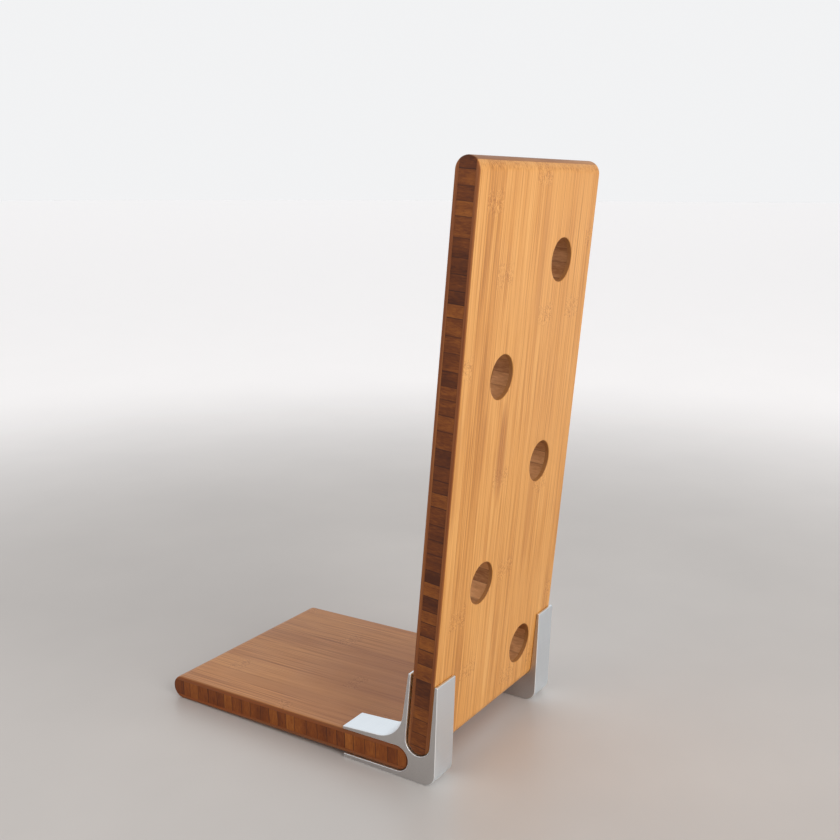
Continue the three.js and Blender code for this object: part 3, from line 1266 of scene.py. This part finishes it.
    def _add_well(self, surface: Surface, well: Well, across: np.ndarray, rows: np.ndarray, first_row: int,
                  numbers: list[np.ndarray], keep: list[np.ndarray]) -> None:
        """Adds a round hole: rings about its axis at the angles of the points round its square, so that
        the first or last ring meets the face's own points.

        Args:
            surface: the layer's surface.
            well: the hole.
            across: stations across the board.
            rows: distances along the straight part.
            first_row: which point of a line along the board is the first of the rows.
            numbers: point numbers of the show-side and hidden-side faces.
            keep: which faces of each side stay.
        """
        sides = (-well.half_block, well.half_block)
        i0, i1 = (int(np.argmin(abs(across - (well.across + side)))) for side in sides)
        p0, p1 = (int(np.argmin(abs(rows - (well.along + side)))) + first_row for side in sides)
        wide, long = i1 - i0, p1 - p0
        i = np.concatenate([np.arange(i0, i1), np.full(long, i1), np.arange(i1, i0, -1), np.full(long, i0)])
        p = np.concatenate([np.full(wide, p0), np.arange(p0, p1), np.full(wide, p1), np.arange(p1, p0, -1)])
        angle = np.arctan2(rows[p - first_row] - well.along, across[i] - well.across)
        rings = np.array(well.rings)
        x = well.across + rings[:, :1] * np.cos(angle)
        up = well.along + rings[:, :1] * np.sin(angle)
        loops = [surface.add(self.place.to_rack(x, rings[:, 1:], up))]
        if well.from_show:
            loops.insert(0, numbers[0][i, p][None])
            keep[0][i0:i1, p0:p1] = False
        if well.from_hidden:
            loops.append(numbers[1][i, p][None])
            keep[1][i0:i1, p0:p1] = False
        surface.rings(np.concatenate(loops))

    def build(self, face: bpy.types.Material, core: bpy.types.Material) -> None:
        """Makes and dresses the three layers.

        Args:
            face: finish of the two face plies.
            core: finish of the core.
        """
        titles = {Layer.SHOW: "show_ply", Layer.CORE: "cross_core", Layer.HIDDEN: "hidden_ply"}
        for layer, title in titles.items():
            piece = self.build_layer(layer, f"{self.name}_{title}")
            finish, slot = (core, "bamboo_core") if layer is Layer.CORE else (face, "bamboo_face")
            dress(piece, finish, self.nodes[layer])


# ---------------------------------------------------------------- screws and brackets


@dataclass(frozen=True)
class Screw:
    """A countersunk wood screw with a cross recess, along a board's outwards direction.

    Attributes:
        name: the piece's name.
        node: the CAD node it stands for.
        place: the board it goes into.
        sizes: the rack's sizes.
        across: its X.
        distance: how far along the board.
        head_at: how far behind the middle of the board the top of its head is.
        recess: depth of the cross recess.
        arm_half: half the width of the recess's arms at the top.
        arm_slope: how wide the arms' sloping walls are.
        arm_reach: how far the arms run out from the axis.
        pitch: the thread's pitch.
        thread: its height.
        ridge_half: half its width at the root, as a share of the pitch.
    """

    name: str
    node: str
    place: BoardPlace
    sizes: RackSizes
    across: float
    distance: float
    head_at: float
    recess: float = 1.5
    arm_half: float = 0.75
    arm_slope: float = 0.35
    arm_reach: float = 2.15
    pitch: float = 1.6
    thread: float = 0.42
    ridge_half: float = 0.28

    @property
    def length(self) -> float:
        """From the top of the head to the point."""
        return self.head_at + self.sizes.half - self.sizes.wood_past_screw

    def lathe(self, depth: np.ndarray, radius: np.ndarray, count: int) -> np.ndarray:
        """Points round the screw's axis: x and along the board are the radius times cos and sin, and
        outwards is the depth past the head.

        Args:
            depth: depths from the top of the head, by row, or by row and angle.
            radius: radii, likewise.
            count: points in a turn.

        Returns:
            An array of points by row and angle.
        """
        angle = np.linspace(0, 2 * math.pi, count, endpoint=False)[None, :]
        depth, radius = (v if v.ndim == 2 else v[:, None] for v in (depth, radius))
        x = self.across + radius * np.cos(angle)
        up = self.distance + radius * np.sin(angle)
        return self.place.to_rack(x, depth - self.head_at, up)

    def bore(self) -> bpy.types.Object:
        """The screw's outline grown by its gap all round, with a mouth outside the head.

        Returns:
            A solid to cut the bracket with.
        """
        s, gap = self.sizes, self.sizes.screw_gap
        head, shank, rim = s.screw_head + gap, s.screw_shank + gap, s.screw_rim + gap
        mouth, under, end = -s.screw_mouth, rim + head - shank, self.length + gap
        depth = np.array([mouth, mouth, rim, under, self.length - s.screw_point + gap, end])
        radius = np.array([0.0, head, head, shank, shank, 0.0])
        surface = Surface()
        surface.rings(surface.add(self.lathe(depth, radius, 48)))
        return surface.make(f"{self.name}_bore")

    def build(self, finish: bpy.types.Material) -> None:
        """Makes the screw: a head dished by a cross recess, a cone under it, and a shank with a thread.

        The recess is deep where a point is near one of two crossed arms and near the axis. The thread is a
        ridge where depth over pitch, less the turn, is near a whole number.

        Args:
            finish: its material.
        """
        s, count = self.sizes, 40
        angle = np.linspace(0, 2 * math.pi, count, endpoint=False)[None, :]
        round_axis = np.ones_like(angle)
        flat = np.linspace(0.0, s.screw_head - 0.15, 18)[:, None] * round_axis
        x, y = abs(flat * np.cos(angle)), abs(flat * np.sin(angle))
        arm = np.clip((self.arm_half - np.minimum(x, y)) / self.arm_slope, 0, 1)
        dish = self.recess * arm * np.clip(self.arm_reach - np.maximum(x, y), 0, 1)
        under = s.screw_rim + s.screw_head - s.screw_shank
        collar_depth = np.array([0.05, 0.15, s.screw_rim, under, under + 0.6])[:, None] * round_axis
        collar = np.array([s.screw_head - 0.05, s.screw_head, s.screw_head, s.screw_shank, s.screw_shank])
        thread_start = under + 0.8
        rows = np.linspace(thread_start, self.length, 110)[:, None]
        taper = np.clip((self.length - rows) / s.screw_point, 0, 1) ** 0.8
        turn = (rows / self.pitch - angle / (2 * math.pi)) % 1.0
        ridge = np.clip(1 - abs(turn - 0.5) / self.ridge_half, 0, 1)
        ridge = ridge * np.clip((rows - thread_start) / 1.5, 0, 1)
        shank = (s.screw_shank - self.thread + self.thread * ridge) * taper
        surface = Surface()
        depth = np.concatenate([dish, collar_depth, rows * round_axis])
        radius = np.concatenate([flat, collar[:, None] * round_axis, shank])
        surface.rings(surface.add(self.lathe(depth, radius, count)))
        dress(surface.make(self.name, 38.0), finish, self.node)


@dataclass
class Bracket:
    """A length of one aluminium extrusion with a slot for each board, its edges broken, drilled for screws.

    Attributes:
        side: which bracket.
        plan: places of the boards.
        screws: its screws.
        broken: radius of its broken edges.
        tip_round: radius of the corners of its lips.
        cap_margin: width of the flat ring round its end faces.
        support: distance from a broken edge to the line of points that keeps the flat beside it flat.
    """

    side: Side
    plan: RackPlan
    screws: list[Screw]
    broken: float = 0.55
    tip_round: float = 0.8
    cap_margin: float = 0.18
    support: float = 0.4

    def outline(self) -> np.ndarray:
        """Outline of the extrusion: straight tapering lips, half-round slot ends, a rounded heel and a
        filleted inner corner.

        Returns:
            The closed outline's (y, z) points, one row each.
        """
        s, upright, base = self.plan.sizes, self.plan.upright, self.plan.base

        def face_ends(board: BoardPlace, show: bool, lip: Lip) -> tuple[np.ndarray, np.ndarray]:
            """Root and tip of a lip's outer face."""
            return tuple(board.at(d, board.face(show, lip, d)) for d in (s.half, lip.reach))

        def slot_end(board: BoardPlace) -> np.ndarray:
            """The half-round end of a board's slot.

            Args:
                board: where the board lies.

            Returns:
                The arc's points, from the slot's hidden wall to its show wall.
            """
            radius = (board.wall(True) - board.wall(False)) / 2
            middle = (board.wall(True) + board.wall(False)) / 2
            start = math.atan2(board.outwards[1], board.outwards[0])
            return arc(board.at(radius - s.end_play, middle), radius, start + math.pi, start)

        front_root, front_tip = face_ends(upright, True, s.front_lip)
        back_root, back_tip = face_ends(upright, False, s.back_lip)
        top_root, top_tip = face_ends(base, True, s.top_lip)
        over_sole = base.at(s.sole.reach, base.wall(False))
        sole_tip = np.array([over_sole[0], 0.0])
        heel = crossing(front_tip, front_root, np.array([front_root[0], 0.0]), sole_tip)
        corner = crossing(top_tip, top_root, back_root, back_tip)
        base_slot, upright_slot = slot_end(base), slot_end(upright)
        front_mouth = upright.at(s.front_lip.reach, upright.wall(True))
        top_mouth = base.at(s.top_lip.reach, base.wall(True))
        back_mouth = upright.at(s.back_lip.reach, upright.wall(False))
        small = self.tip_round
        parts = [
            rounded(upright_slot[-1], front_mouth, front_tip, small),
            rounded(front_mouth, front_tip, heel, small),
            rounded(front_tip, heel, sole_tip, s.heel_radius),
            rounded(heel, sole_tip, over_sole, small),
            rounded(sole_tip, over_sole, base_slot[0], small),
            base_slot,
            rounded(base_slot[-1], top_mouth, top_tip, small),
            rounded(top_mouth, top_tip, corner, small),
            rounded(top_tip, corner, back_tip, s.corner_fillet),
            rounded(corner, back_tip, back_mouth, small),
            rounded(back_tip, back_mouth, upright_slot[0], small),
            upright_slot,
        ]
        return with_supports(np.concatenate(parts))

    def build(self, finish: bpy.types.Material) -> None:
        """Makes and dresses the bracket: the outline carried across, drawn in over a quarter round at both
        ends, with its screw holes cut out.

        Args:
            finish: its material.
        """
        s = self.plan.sizes
        name = f"{self.side.name.lower()}_slotted_bracket"
        loop = self.outline()
        turn = quarter(4)
        inset = np.concatenate([[self.broken + self.cap_margin], self.broken * (1 - np.sin(turn))])
        depth = np.concatenate([[0.0], self.broken * (1 - np.cos(turn))])
        near = np.append(depth, self.broken + self.support)
        stations = np.concatenate([near, s.bracket_width - near[::-1]]) - s.bracket_width / 2
        insets = np.concatenate([inset, [0.0, 0.0], inset[::-1]])
        rings = np.stack([inset_loop(loop, d) for d in insets])
        across = np.broadcast_to(stations[:, None] + self.side.value * s.screw_x, rings.shape[:2])
        surface = Surface()
        ids = surface.add(np.stack([across, rings[..., 0] + self.plan.shift, rings[..., 1]], axis=-1))
        surface.rings(ids)
        surface.cap(ids[0])
        surface.cap(ids[-1])
        piece = surface.make(name)
        cutters = [screw.bore() for screw in self.screws]
        for cutter in cutters:
            cut = piece.modifiers.new(cutter.name, "BOOLEAN")
            cut.object, cut.operation, cut.solver = cutter, "DIFFERENCE", "EXACT"
        bpy.context.view_layer.update()
        drilled = bpy.data.meshes.new_from_object(piece.evaluated_get(bpy.context.evaluated_depsgraph_get()))
        for obj in (piece, *cutters):
            bpy.data.objects.remove(obj)
        dress(link(name, drilled, 32.0), finish, f"{self.side.name.lower()}_bracket")


def dress(piece: bpy.types.Object, finish: bpy.types.Material, node: str) -> None:
    """Gives a piece its finish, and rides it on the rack.

    Args:
        piece: the piece.
        finish: its material.
        node: the CAD node it stands for.
    """
    piece.data.materials.clear()
    piece.data.materials.append(finish)
    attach(piece, "root")
    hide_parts(node)
    points = np.empty(len(piece.data.vertices) * 3)
    piece.data.vertices.foreach_get("co", points)
    points = points.reshape(-1, 3)
    low, high = (np.array(corner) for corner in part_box(node))
    off = max(np.abs(points.min(0) - low).max(), np.abs(points.max(0) - high).max()) / MM
    log.info("%s: %d faces, box within %.2f mm of %s", piece.name, len(piece.data.polygons), off, node)


# ---------------------------------------------------------------- studio


@dataclass(frozen=True)
class SoftLight:
    """A square soft light, by its place, what it looks at, its side and its power."""

    name: str
    place: tuple[float, float, float]
    target: tuple[float, float, float]
    side: float
    power: float
    colour: tuple[float, float, float]

    def build(self) -> None:
        """Puts the light into the scene."""
        data = bpy.data.lights.new(self.name, "AREA")
        data.size, data.energy, data.color = self.side, self.power, self.colour
        lamp = bpy.data.objects.new(self.name, data)
        lamp.location = self.place
        lamp.rotation_mode = "QUATERNION"
        lamp.rotation_quaternion = (Vector(self.target) - Vector(self.place)).to_track_quat("-Z", "Y")
        bpy.context.scene.collection.objects.link(lamp)


@dataclass(frozen=True)
class Studio:
    """Pale floor, soft light and camera.

    Attributes:
        camera_place: where the camera stands.
        azimuth: degrees from the front round to the camera, positive towards +X.
        elevation: degrees that the camera looks down.
        lens: its focal length in millimetres.
        floor_half: half the floor's side in metres.
        floor_dark: the floor's darker mottling.
        floor_light: its lighter mottling.
        floor_glow: how bright the floor is far from the rack.
        room_white: the room's brightness where it shows.
        lights: the soft lights.
    """

    camera_place: tuple[float, float, float] = (-0.6569, -0.47144, 0.4138)
    azimuth: float = -56.9
    elevation: float = 12.3
    lens: float = 44.974
    floor_half: float = 40.0
    floor_dark: Colour = (0.60, 0.565, 0.54, 1)
    floor_light: Colour = (0.68, 0.64, 0.61, 1)
    floor_glow: Colour = (0.42, 0.42, 0.43, 1)
    room_white: float = 0.90
    lights: tuple[SoftLight, ...] = (
        SoftLight("window_light", (-0.5, -3.0, 1.5), (0, -0.1, 0.2), 2.4, 68.0, (1.0, 0.985, 0.96)),
        SoftLight("left_fill", (-1.1, 0.45, 0.8), (-0.05, 0.1, 0.0), 0.9, 2.6, (1.0, 0.97, 0.93)),
        SoftLight("ceiling_light", (0.3, 1.3, 1.7), (0, 0.05, 0.0), 1.8, 1.4, (0.97, 0.985, 1.0)),
    )

    def build(self) -> None:
        """Puts the studio into the scene."""
        self._floor()
        self._surroundings()
        for light in self.lights:
            light.build()
        self._camera()

    def _floor(self) -> None:
        """A wide flat floor, sunk a hair under the rack, with faint mottling."""
        half = self.floor_half / MM
        line = np.linspace(-half, half, 9)
        x, y = np.meshgrid(line, line, indexing="ij")
        surface = Surface()
        surface.grid(surface.add(np.stack([x, y, np.full_like(x, -0.05)], axis=-1)))
        floor = surface.make("pale_floor")
        if floor.data.polygons[0].normal.z < 0:
            floor.data.flip_normals()
        material = bpy.data.materials.new("pale_floor")
        material.use_nodes = True
        bench, shader = Bench(material.node_tree), material.node_tree.nodes["Principled BSDF"]
        coordinates = bench.add("ShaderNodeTexCoord").outputs["Object"]
        colour = bench.blend(bench.noise(coordinates, 7.0, 3.0), self.floor_dark, self.floor_light)
        away = bench.add("ShaderNodeVectorMath", {0: coordinates}, operation="LENGTH").outputs["Value"]
        glow = bench.blend(bench.ease(away, 0.45, 1.6), (0, 0, 0, 1), self.floor_glow)
        bench.connect(shader, {"Base Color": colour, "Emission Color": glow})
        bench.connect(shader, {"Emission Strength": 1.0, "Roughness": 0.35})
        floor.data.materials.append(material)

    def _surroundings(self) -> None:
        """Soft room light: brighter above and behind, dimmer on the left, and near white where it shows."""
        world = bpy.data.worlds.new("soft_room")
        world.use_nodes = True
        bpy.context.scene.world = world
        bench = Bench(world.node_tree)
        background = world.node_tree.nodes["Background"]
        x, y, z = bench.split(bench.add("ShaderNodeTexCoord").outputs["Generated"])
        sideways = bench.ease(x, -0.7, 0.6, 0.20, 0.48)
        upwards = bench.ease(z, 0.2, 0.9, 0.0, 0.14)
        wall = bench.ease(bench.maths("ADD", x, y), 0.5, 1.2, 0.0, 0.34)
        light = bench.maths("ADD", bench.maths("ADD", sideways, upwards), wall)
        seen = bench.add("ShaderNodeLightPath").outputs["Is Camera Ray"]
        strength = bench.between(seen, light, self.room_white)
        bench.connect(background, {"Strength": strength, "Color": (0.985, 0.99, 1.0, 1)})

    def _camera(self) -> None:
        """The camera, from the rack's front left and a little above it."""
        azimuth, elevation = math.radians(self.azimuth), math.radians(self.elevation)
        level = math.cos(elevation)
        back = Vector((math.sin(azimuth) * level, -math.cos(azimuth) * level, math.sin(elevation)))
        data = bpy.data.cameras.new("camera")
        data.sensor_width, data.lens = 36.0, self.lens
        data.clip_start, data.clip_end = 0.01, 50.0
        camera = bpy.data.objects.new("camera", data)
        camera.location = self.camera_place
        camera.rotation_mode = "QUATERNION"
        camera.rotation_quaternion = (-back).to_track_quat("-Z", "Y")
        bpy.context.scene.collection.objects.link(camera)
        bpy.context.scene.camera = camera
        bpy.context.scene.view_settings.view_transform = "Standard"


# ---------------------------------------------------------------- the rack


class WineRack:
    """The whole rack: two boards, two brackets and their screws."""

    def __init__(self, sizes: RackSizes) -> None:
        """Plans the rack.

        Args:
            sizes: the driving sizes.
        """
        self.sizes = sizes
        self.plan = RackPlan(sizes)
        self.effects = SharedEffects()

    def boards(self) -> list[tuple[Board, LengthwiseBamboo, CrosswiseBamboo]]:
        """The two boards, and what they are finished with.

        Returns:
            The upright and the base, each with the finishes of its plies and its core.
        """
        s, plan = self.sizes, self.plan
        column = s.board_width / 2 - s.hole_to_side
        holes = [
            (s.zigzag_shift + (-column if row % 2 else column), s.first_hole + row * s.hole_pitch)
            for row in range(s.hole_rows)
        ]
        upright_nodes = {
            Layer.SHOW: "upright_front_ply", Layer.CORE: "upright_core", Layer.HIDDEN: "upright_back_ply",
        }
        base_nodes = {Layer.SHOW: "base_top_ply", Layer.CORE: "base_core", Layer.HIDDEN: "base_bottom_ply"}
        upright = Board("upright", plan.upright, s, upright_nodes, holes, list(plan.screw_rows(s.back_lip)))
        base = Board("base", plan.base, s, base_nodes, [], list(plan.screw_rows(s.sole)))
        upright_face = LengthwiseBamboo(
            "lacquered_bamboo_upright",
            seed=3.0,
            knuckles=(283.0, 387.0, 340.0, 196.0, 405.0, 308.0, 176.0, 310.0, 75.0, 230.0),
            marks=(
                Mark(-25.0, 214.0, 8.0, 46.0, 0.9),
                Mark(-53.0, 222.0, 2.5, 38.0, 0.7),
                Mark(-86.0, 215.0, 3.0, 60.0, 0.5),
                Mark(30.0, 160.0, 8.0, 60.0, 0.35),
                Mark(8.0, 340.0, 5.0, 70.0, 0.3),
            ),
        )
        base_face = LengthwiseBamboo(
            "lacquered_bamboo_base",
            seed=41.0,
            # painted shade and painted light: the upright's palette darkened for the dimmer light on the
            # base's top, with its side colour lightened for the floor's bounce onto the base's side
            light=(0.72, 0.345, 0.125, 1),
            middle=(0.57, 0.24, 0.078, 1),
            dark=(0.35, 0.12, 0.034, 1),
            stain=(0.27, 0.082, 0.022, 1),
            side=(0.36, 0.080, 0.009, 1),
            knuckles=(120.0, 40.0, 200.0, 95.0, 260.0, 20.0, 150.0, 70.0, 225.0, 180.0),
            marks=(
                Mark(-60.0, 150.0, 12.0, 60.0, 0.3),
                Mark(20.0, 200.0, 14.0, 50.0, 0.25),
                # painted shadow: a wide soft darker patch on the base's top by the upright, where the
                # upright's shadow falls
                Mark(-10.0, 10.0, 120.0, 170.0, 0.55),
            ),
        )
        base_core = CrosswiseBamboo(
            "cross_strip_core_base",
            seed=31.8,
            block=9.4,
            # painted light: the upright core's palette lightened for the floor's bounce onto the base's side
            dark=(0.17, 0.036, 0.005, 1),
            middle=(0.30, 0.074, 0.009, 1),
            light=(0.48, 0.15, 0.022, 1),
        )
        return [
            (upright, upright_face, CrosswiseBamboo("cross_strip_core_upright", seed=7.3)),
            (base, base_face, base_core),
        ]

    def screws(self, side: Side) -> list[Screw]:
        """The four screws of a bracket.

        Args:
            side: which bracket.

        Returns:
            Two in the upright and two in the base, each pair from the tip of the board on.
        """
        s, plan, name = self.sizes, self.plan, side.name.lower()
        rows = [
            ("upright", plan.upright, plan.screw_rows(s.back_lip), plan.back_lip_face),
            ("base", plan.base, plan.screw_rows(s.sole), plan.sole_face),
        ]
        return [
            Screw(
                f"{name}_{board}_wood_screw_{i + 1}", f"{name}_{board}_screw_{i + 1}", place, s,
                side.value * s.screw_x, distance, lip_face(distance) - s.screw_recess,
            )
            for board, place, distances, lip_face in rows
            for i, distance in enumerate(distances)
        ]

    def build(self) -> None:
        """Makes and dresses every piece."""
        half_width = self.sizes.board_width / 2
        for board, face, core in self.boards():
            plies = face.build(self.effects, board.place, half_width)
            board.build(plies, core.build(self.effects, board.place, half_width))
        steel = ZincSteel("zinc_plated_steel").build(self.effects)
        for side in Side:
            screws = self.screws(side)
            finish = SatinAluminium(f"satin_aluminium_{side.name.lower()}").build(
                self.effects, side.value * self.sizes.screw_x, self.sizes.bracket_width / 2
            )
            Bracket(side, self.plan, screws).build(finish)
            for screw in screws:
                screw.build(steel)


def main() -> None:
    """Builds the rack and the studio."""
    logging.basicConfig(level=logging.INFO, format="%(message)s")
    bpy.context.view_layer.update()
    WineRack(RackSizes()).build()
    Studio().build()


if __name__ == "__main__":
    main()
